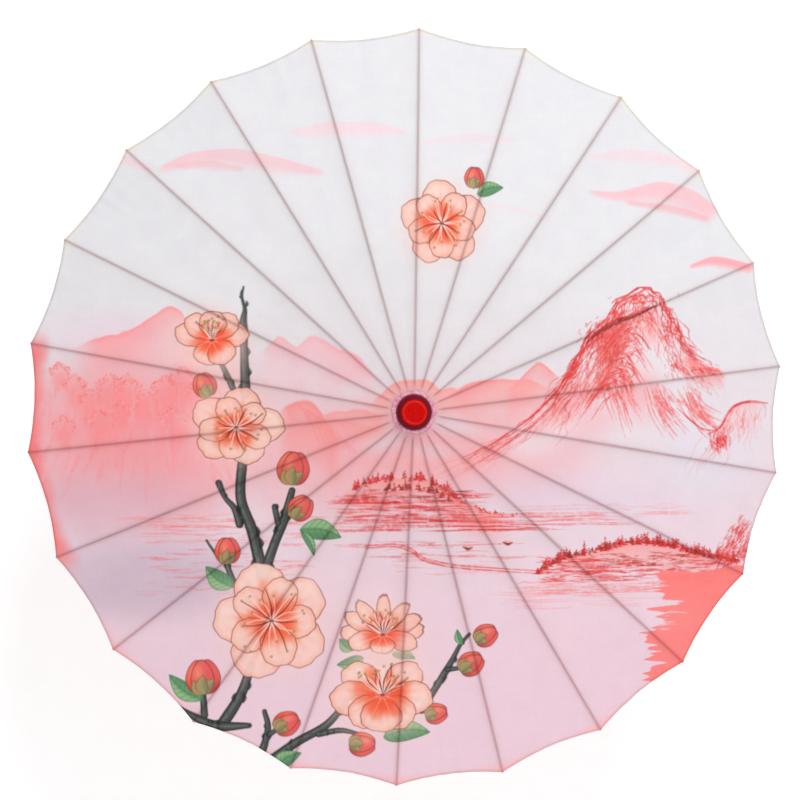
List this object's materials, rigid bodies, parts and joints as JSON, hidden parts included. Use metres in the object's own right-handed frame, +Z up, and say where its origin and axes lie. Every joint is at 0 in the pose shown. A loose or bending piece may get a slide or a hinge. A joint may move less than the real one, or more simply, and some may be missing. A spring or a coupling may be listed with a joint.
{
  "type": "folding cloth parasol",
  "caption": "Open hand parasol with a wide scalloped cloth canopy on slender bamboo ribs, a straight shaft, a sliding runner with spring catch and a turned handle.",
  "frame": {"origin": "centre of the handle's flat bottom end", "axes": "+Z up the shaft to the cap, +Y through the first rib, +X through the side with the catch"},
  "size_m": [0.8344, 0.843, 0.537],
  "materials": {
    "bamboo": "satin split bamboo",
    "dark_wood": "turned and varnished wood",
    "canopy_cloth": "thin sheer printed cloth, pale lilac white shading to pink",
    "gathered_cloth": "gathered pink cloth",
    "red_cap": "glossy red",
    "steel": "bare drawn wire and spring strip"
  },
  "bodies": {
    "mast": {"shaft": "bamboo", "handle": "dark_wood", "handle_peg": "bamboo", "hub": "dark_wood", "hub_wire": "steel", "hub_peg": "bamboo", "cap": "red_cap", "gather_ring": "gathered_cloth", "canopy": "canopy_cloth", "catch_pin": "steel"},
    "catch": {"catch": "steel"},
    "runner": {"runner": "dark_wood", "runner_wire": "steel"},
    "rib_01": {"rib_01": "bamboo"},
    "stretcher_01": {"stretcher_01": "bamboo"},
    "rib_02": {"rib_02": "bamboo"},
    "stretcher_02": {"stretcher_02": "bamboo"},
    "rib_03": {"rib_03": "bamboo"},
    "stretcher_03": {"stretcher_03": "bamboo"},
    "rib_04": {"rib_04": "bamboo"},
    "stretcher_04": {"stretcher_04": "bamboo"},
    "rib_05": {"rib_05": "bamboo"},
    "stretcher_05": {"stretcher_05": "bamboo"},
    "rib_06": {"rib_06": "bamboo"},
    "stretcher_06": {"stretcher_06": "bamboo"},
    "rib_07": {"rib_07": "bamboo"},
    "stretcher_07": {"stretcher_07": "bamboo"},
    "rib_08": {"rib_08": "bamboo"},
    "stretcher_08": {"stretcher_08": "bamboo"},
    "rib_09": {"rib_09": "bamboo"},
    "stretcher_09": {"stretcher_09": "bamboo"},
    "rib_10": {"rib_10": "bamboo"},
    "stretcher_10": {"stretcher_10": "bamboo"},
    "rib_11": {"rib_11": "bamboo"},
    "stretcher_11": {"stretcher_11": "bamboo"},
    "rib_12": {"rib_12": "bamboo"},
    "stretcher_12": {"stretcher_12": "bamboo"},
    "rib_13": {"rib_13": "bamboo"},
    "stretcher_13": {"stretcher_13": "bamboo"},
    "rib_14": {"rib_14": "bamboo"},
    "stretcher_14": {"stretcher_14": "bamboo"},
    "rib_15": {"rib_15": "bamboo"},
    "stretcher_15": {"stretcher_15": "bamboo"},
    "rib_16": {"rib_16": "bamboo"},
    "stretcher_16": {"stretcher_16": "bamboo"},
    "rib_17": {"rib_17": "bamboo"},
    "stretcher_17": {"stretcher_17": "bamboo"},
    "rib_18": {"rib_18": "bamboo"},
    "stretcher_18": {"stretcher_18": "bamboo"},
    "rib_19": {"rib_19": "bamboo"},
    "stretcher_19": {"stretcher_19": "bamboo"},
    "rib_20": {"rib_20": "bamboo"},
    "stretcher_20": {"stretcher_20": "bamboo"},
    "rib_21": {"rib_21": "bamboo"},
    "stretcher_21": {"stretcher_21": "bamboo"},
    "rib_22": {"rib_22": "bamboo"},
    "stretcher_22": {"stretcher_22": "bamboo"}
  },
  "joints": [
    {"name": "canopy_fold", "type": "hinge", "parent": "mast", "child": "rib_01", "pos_m": [0, 0.015, 0.52], "axis": [-1, 0, 0], "range_deg": [0, 69], "deforming": ["canopy", "catch"]},
    {"name": "stretcher_fold_01", "type": "hinge", "parent": "rib_01", "child": "stretcher_01", "pos_m": [0, 0.19192, 0.46591], "axis": [-1, 0, 0], "range_deg": [-138, 0]},
    {"name": "runner_travel", "type": "hinge", "parent": "stretcher_01", "child": "runner", "pos_m": [0, 0.015, 0.41182], "axis": [-1, 0, 0], "range_deg": [0, 69]},
    {"name": "rib_fold_02", "type": "hinge", "parent": "mast", "child": "rib_02", "pos_m": [0.00423, 0.01439, 0.52], "axis": [-0.9595, 0.2817, 0], "range_deg": [0, 69]},
    {"name": "stretcher_fold_02", "type": "hinge", "parent": "rib_02", "child": "stretcher_02", "pos_m": [0.05407, 0.18414, 0.46591], "axis": [-0.9595, 0.2817, 0], "range_deg": [-138, 0]},
    {"name": "rib_fold_03", "type": "hinge", "parent": "mast", "child": "rib_03", "pos_m": [0.00811, 0.01262, 0.52], "axis": [-0.8413, 0.5406, 0], "range_deg": [0, 69]},
    {"name": "stretcher_fold_03", "type": "hinge", "parent": "rib_03", "child": "stretcher_03", "pos_m": [0.10376, 0.16145, 0.46591], "axis": [-0.8413, 0.5406, 0], "range_deg": [-138, 0]},
    {"name": "rib_fold_04", "type": "hinge", "parent": "mast", "child": "rib_04", "pos_m": [0.01134, 0.00982, 0.52], "axis": [-0.6549, 0.7557, 0], "range_deg": [0, 69]},
    {"name": "stretcher_fold_04", "type": "hinge", "parent": "rib_04", "child": "stretcher_04", "pos_m": [0.14504, 0.12568, 0.46591], "axis": [-0.6549, 0.7557, 0], "range_deg": [-138, 0]},
    {"name": "rib_fold_05", "type": "hinge", "parent": "mast", "child": "rib_05", "pos_m": [0.01364, 0.00623, 0.52], "axis": [-0.4154, 0.9096, 0], "range_deg": [0, 69]},
    {"name": "stretcher_fold_05", "type": "hinge", "parent": "rib_05", "child": "stretcher_05", "pos_m": [0.17457, 0.07972, 0.46591], "axis": [-0.4154, 0.9096, 0], "range_deg": [-138, 0]},
    {"name": "rib_fold_06", "type": "hinge", "parent": "mast", "child": "rib_06", "pos_m": [0.01485, 0.00213, 0.52], "axis": [-0.1423, 0.9898, 0], "range_deg": [0, 69]},
    {"name": "stretcher_fold_06", "type": "hinge", "parent": "rib_06", "child": "stretcher_06", "pos_m": [0.18996, 0.02731, 0.46591], "axis": [-0.1423, 0.9898, 0], "range_deg": [-138, 0]},
    {"name": "rib_fold_07", "type": "hinge", "parent": "mast", "child": "rib_07", "pos_m": [0.01485, -0.00213, 0.52], "axis": [0.1423, 0.9898, 0], "range_deg": [0, 69]},
    {"name": "stretcher_fold_07", "type": "hinge", "parent": "rib_07", "child": "stretcher_07", "pos_m": [0.18996, -0.02731, 0.46591], "axis": [0.1423, 0.9898, 0], "range_deg": [-138, 0]},
    {"name": "rib_fold_08", "type": "hinge", "parent": "mast", "child": "rib_08", "pos_m": [0.01364, -0.00623, 0.52], "axis": [0.4154, 0.9096, 0], "range_deg": [0, 69]},
    {"name": "stretcher_fold_08", "type": "hinge", "parent": "rib_08", "child": "stretcher_08", "pos_m": [0.17457, -0.07972, 0.46591], "axis": [0.4154, 0.9096, 0], "range_deg": [-138, 0]},
    {"name": "rib_fold_09", "type": "hinge", "parent": "mast", "child": "rib_09", "pos_m": [0.01134, -0.00982, 0.52], "axis": [0.6549, 0.7557, 0], "range_deg": [0, 69]},
    {"name": "stretcher_fold_09", "type": "hinge", "parent": "rib_09", "child": "stretcher_09", "pos_m": [0.14504, -0.12568, 0.46591], "axis": [0.6549, 0.7557, 0], "range_deg": [-138, 0]},
    {"name": "rib_fold_10", "type": "hinge", "parent": "mast", "child": "rib_10", "pos_m": [0.00811, -0.01262, 0.52], "axis": [0.8413, 0.5406, 0], "range_deg": [0, 69]},
    {"name": "stretcher_fold_10", "type": "hinge", "parent": "rib_10", "child": "stretcher_10", "pos_m": [0.10376, -0.16145, 0.46591], "axis": [0.8413, 0.5406, 0], "range_deg": [-138, 0]},
    {"name": "rib_fold_11", "type": "hinge", "parent": "mast", "child": "rib_11", "pos_m": [0.00423, -0.01439, 0.52], "axis": [0.9595, 0.2817, 0], "range_deg": [0, 69]},
    {"name": "stretcher_fold_11", "type": "hinge", "parent": "rib_11", "child": "stretcher_11", "pos_m": [0.05407, -0.18414, 0.46591], "axis": [0.9595, 0.2817, 0], "range_deg": [-138, 0]},
    {"name": "rib_fold_12", "type": "hinge", "parent": "mast", "child": "rib_12", "pos_m": [0, -0.015, 0.52], "axis": [1, 0, 0], "range_deg": [0, 69]},
    {"name": "stretcher_fold_12", "type": "hinge", "parent": "rib_12", "child": "stretcher_12", "pos_m": [0, -0.19192, 0.46591], "axis": [1, 0, 0], "range_deg": [-138, 0]},
    {"name": "rib_fold_13", "type": "hinge", "parent": "mast", "child": "rib_13", "pos_m": [-0.00423, -0.01439, 0.52], "axis": [0.9595, -0.2817, 0], "range_deg": [0, 69]},
    {"name": "stretcher_fold_13", "type": "hinge", "parent": "rib_13", "child": "stretcher_13", "pos_m": [-0.05407, -0.18414, 0.46591], "axis": [0.9595, -0.2817, 0], "range_deg": [-138, 0]},
    {"name": "rib_fold_14", "type": "hinge", "parent": "mast", "child": "rib_14", "pos_m": [-0.00811, -0.01262, 0.52], "axis": [0.8413, -0.5406, 0], "range_deg": [0, 69]},
    {"name": "stretcher_fold_14", "type": "hinge", "parent": "rib_14", "child": "stretcher_14", "pos_m": [-0.10376, -0.16145, 0.46591], "axis": [0.8413, -0.5406, 0], "range_deg": [-138, 0]},
    {"name": "rib_fold_15", "type": "hinge", "parent": "mast", "child": "rib_15", "pos_m": [-0.01134, -0.00982, 0.52], "axis": [0.6549, -0.7557, 0], "range_deg": [0, 69]},
    {"name": "stretcher_fold_15", "type": "hinge", "parent": "rib_15", "child": "stretcher_15", "pos_m": [-0.14504, -0.12568, 0.46591], "axis": [0.6549, -0.7557, 0], "range_deg": [-138, 0]},
    {"name": "rib_fold_16", "type": "hinge", "parent": "mast", "child": "rib_16", "pos_m": [-0.01364, -0.00623, 0.52], "axis": [0.4154, -0.9096, 0], "range_deg": [0, 69]},
    {"name": "stretcher_fold_16", "type": "hinge", "parent": "rib_16", "child": "stretcher_16", "pos_m": [-0.17457, -0.07972, 0.46591], "axis": [0.4154, -0.9096, 0], "range_deg": [-138, 0]},
    {"name": "rib_fold_17", "type": "hinge", "parent": "mast", "child": "rib_17", "pos_m": [-0.01485, -0.00213, 0.52], "axis": [0.1423, -0.9898, 0], "range_deg": [0, 69]},
    {"name": "stretcher_fold_17", "type": "hinge", "parent": "rib_17", "child": "stretcher_17", "pos_m": [-0.18996, -0.02731, 0.46591], "axis": [0.1423, -0.9898, 0], "range_deg": [-138, 0]},
    {"name": "rib_fold_18", "type": "hinge", "parent": "mast", "child": "rib_18", "pos_m": [-0.01485, 0.00213, 0.52], "axis": [-0.1423, -0.9898, 0], "range_deg": [0, 69]},
    {"name": "stretcher_fold_18", "type": "hinge", "parent": "rib_18", "child": "stretcher_18", "pos_m": [-0.18996, 0.02731, 0.46591], "axis": [-0.1423, -0.9898, 0], "range_deg": [-138, 0]},
    {"name": "rib_fold_19", "type": "hinge", "parent": "mast", "child": "rib_19", "pos_m": [-0.01364, 0.00623, 0.52], "axis": [-0.4154, -0.9096, 0], "range_deg": [0, 69]},
    {"name": "stretcher_fold_19", "type": "hinge", "parent": "rib_19", "child": "stretcher_19", "pos_m": [-0.17457, 0.07972, 0.46591], "axis": [-0.4154, -0.9096, 0], "range_deg": [-138, 0]},
    {"name": "rib_fold_20", "type": "hinge", "parent": "mast", "child": "rib_20", "pos_m": [-0.01134, 0.00982, 0.52], "axis": [-0.6549, -0.7557, 0], "range_deg": [0, 69]},
    {"name": "stretcher_fold_20", "type": "hinge", "parent": "rib_20", "child": "stretcher_20", "pos_m": [-0.14504, 0.12568, 0.46591], "axis": [-0.6549, -0.7557, 0], "range_deg": [-138, 0]},
    {"name": "rib_fold_21", "type": "hinge", "parent": "mast", "child": "rib_21", "pos_m": [-0.00811, 0.01262, 0.52], "axis": [-0.8413, -0.5406, 0], "range_deg": [0, 69]},
    {"name": "stretcher_fold_21", "type": "hinge", "parent": "rib_21", "child": "stretcher_21", "pos_m": [-0.10376, 0.16145, 0.46591], "axis": [-0.8413, -0.5406, 0], "range_deg": [-138, 0]},
    {"name": "rib_fold_22", "type": "hinge", "parent": "mast", "child": "rib_22", "pos_m": [-0.00423, 0.01439, 0.52], "axis": [-0.9595, -0.2817, 0], "range_deg": [0, 69]},
    {"name": "stretcher_fold_22", "type": "hinge", "parent": "rib_22", "child": "stretcher_22", "pos_m": [-0.05407, 0.18414, 0.46591], "axis": [-0.9595, -0.2817, 0], "range_deg": [-138, 0]},
    {"name": "catch_press", "type": "hinge", "parent": "mast", "child": "catch", "pos_m": [0.002, 0, 0.34052], "axis": [0, -1, 0], "range_deg": [0, 6.5], "stiffness_Nm_per_rad": 0.6, "springref_deg": -4.58}
  ],
  "couplings": [
    {"joint": "stretcher_fold_01", "follows": "canopy_fold", "ratio": -2},
    {"joint": "runner_travel", "follows": "canopy_fold", "ratio": 1},
    {"joint": "rib_fold_02", "follows": "canopy_fold", "ratio": 1},
    {"joint": "stretcher_fold_02", "follows": "canopy_fold", "ratio": -2},
    {"joint": "rib_fold_03", "follows": "canopy_fold", "ratio": 1},
    {"joint": "stretcher_fold_03", "follows": "canopy_fold", "ratio": -2},
    {"joint": "rib_fold_04", "follows": "canopy_fold", "ratio": 1},
    {"joint": "stretcher_fold_04", "follows": "canopy_fold", "ratio": -2},
    {"joint": "rib_fold_05", "follows": "canopy_fold", "ratio": 1},
    {"joint": "stretcher_fold_05", "follows": "canopy_fold", "ratio": -2},
    {"joint": "rib_fold_06", "follows": "canopy_fold", "ratio": 1},
    {"joint": "stretcher_fold_06", "follows": "canopy_fold", "ratio": -2},
    {"joint": "rib_fold_07", "follows": "canopy_fold", "ratio": 1},
    {"joint": "stretcher_fold_07", "follows": "canopy_fold", "ratio": -2},
    {"joint": "rib_fold_08", "follows": "canopy_fold", "ratio": 1},
    {"joint": "stretcher_fold_08", "follows": "canopy_fold", "ratio": -2},
    {"joint": "rib_fold_09", "follows": "canopy_fold", "ratio": 1},
    {"joint": "stretcher_fold_09", "follows": "canopy_fold", "ratio": -2},
    {"joint": "rib_fold_10", "follows": "canopy_fold", "ratio": 1},
    {"joint": "stretcher_fold_10", "follows": "canopy_fold", "ratio": -2},
    {"joint": "rib_fold_11", "follows": "canopy_fold", "ratio": 1},
    {"joint": "stretcher_fold_11", "follows": "canopy_fold", "ratio": -2},
    {"joint": "rib_fold_12", "follows": "canopy_fold", "ratio": 1},
    {"joint": "stretcher_fold_12", "follows": "canopy_fold", "ratio": -2},
    {"joint": "rib_fold_13", "follows": "canopy_fold", "ratio": 1},
    {"joint": "stretcher_fold_13", "follows": "canopy_fold", "ratio": -2},
    {"joint": "rib_fold_14", "follows": "canopy_fold", "ratio": 1},
    {"joint": "stretcher_fold_14", "follows": "canopy_fold", "ratio": -2},
    {"joint": "rib_fold_15", "follows": "canopy_fold", "ratio": 1},
    {"joint": "stretcher_fold_15", "follows": "canopy_fold", "ratio": -2},
    {"joint": "rib_fold_16", "follows": "canopy_fold", "ratio": 1},
    {"joint": "stretcher_fold_16", "follows": "canopy_fold", "ratio": -2},
    {"joint": "rib_fold_17", "follows": "canopy_fold", "ratio": 1},
    {"joint": "stretcher_fold_17", "follows": "canopy_fold", "ratio": -2},
    {"joint": "rib_fold_18", "follows": "canopy_fold", "ratio": 1},
    {"joint": "stretcher_fold_18", "follows": "canopy_fold", "ratio": -2},
    {"joint": "rib_fold_19", "follows": "canopy_fold", "ratio": 1},
    {"joint": "stretcher_fold_19", "follows": "canopy_fold", "ratio": -2},
    {"joint": "rib_fold_20", "follows": "canopy_fold", "ratio": 1},
    {"joint": "stretcher_fold_20", "follows": "canopy_fold", "ratio": -2},
    {"joint": "rib_fold_21", "follows": "canopy_fold", "ratio": 1},
    {"joint": "stretcher_fold_21", "follows": "canopy_fold", "ratio": -2},
    {"joint": "rib_fold_22", "follows": "canopy_fold", "ratio": 1},
    {"joint": "stretcher_fold_22", "follows": "canopy_fold", "ratio": -2}
  ]
}
